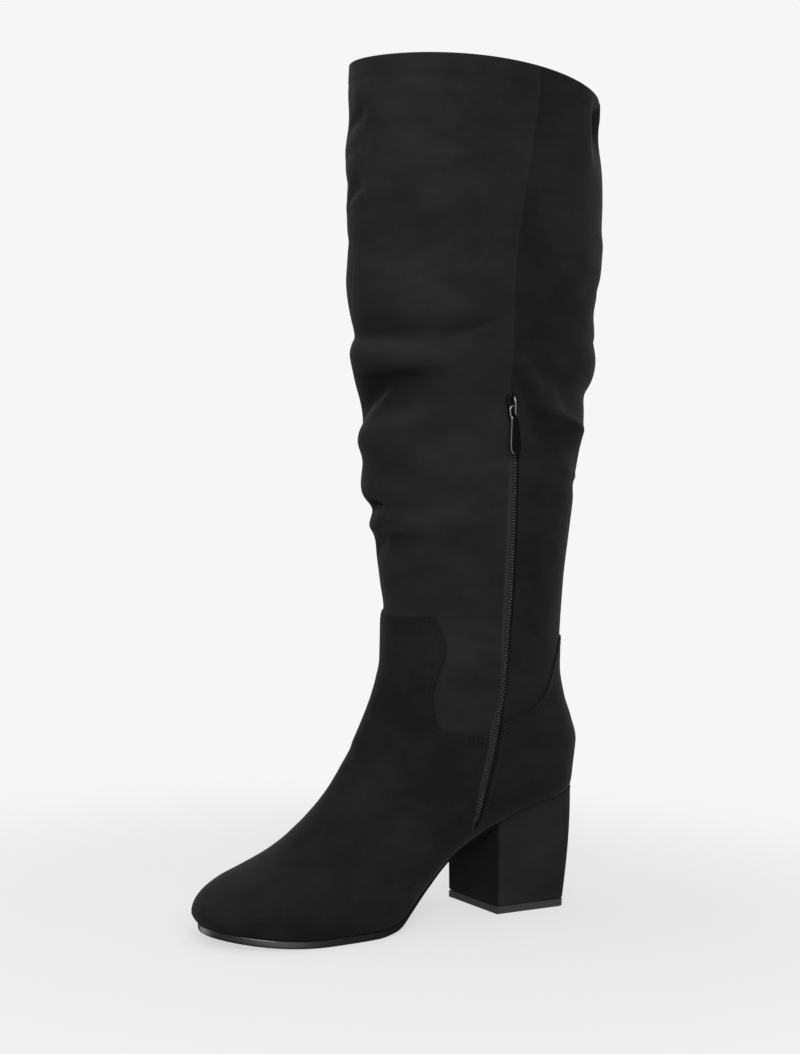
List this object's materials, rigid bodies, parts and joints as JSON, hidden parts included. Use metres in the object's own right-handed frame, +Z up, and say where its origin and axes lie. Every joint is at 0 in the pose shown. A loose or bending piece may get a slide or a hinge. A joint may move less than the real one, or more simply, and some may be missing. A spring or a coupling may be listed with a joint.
{
  "type": "slouch boot",
  "caption": "Knee-high slouch boot in black suede-like fabric with an inner side zip, pointed round toe and covered block heel",
  "frame": {"origin": "middle of the heel's footprint on the floor", "axes": "+X towards the inner side of the foot, where the zip is; -Y towards the toe; +Z up"},
  "size_m": [0.108, 0.2408, 0.4539],
  "materials": {
    "suede": "black brushed suede-like fabric with a short nap",
    "sole": "glossy black moulded sole",
    "top_lift": "matte dark grey rubber",
    "lining": "dark smooth lining",
    "zip_tape": "woven black tape",
    "zip_chain": "dark coil teeth",
    "metal": "dark coated metal"
  },
  "bodies": {
    "boot": {"upper": "suede", "outsole": "sole", "heel": "suede", "top_lift": "top_lift", "insole": "lining", "zip_tape": "zip_tape", "zip_chain": "zip_chain", "zip_slider": "metal"},
    "pull": {"zip_pull": "metal"}
  },
  "joints": [
    {"name": "pull_swing", "type": "hinge", "parent": "boot", "child": "pull", "pos_m": [0.04813, -0.04062, 0.27587], "axis": [-0.0901, -0.9924, -0.0843], "range_deg": [0, 150]}
  ]
}
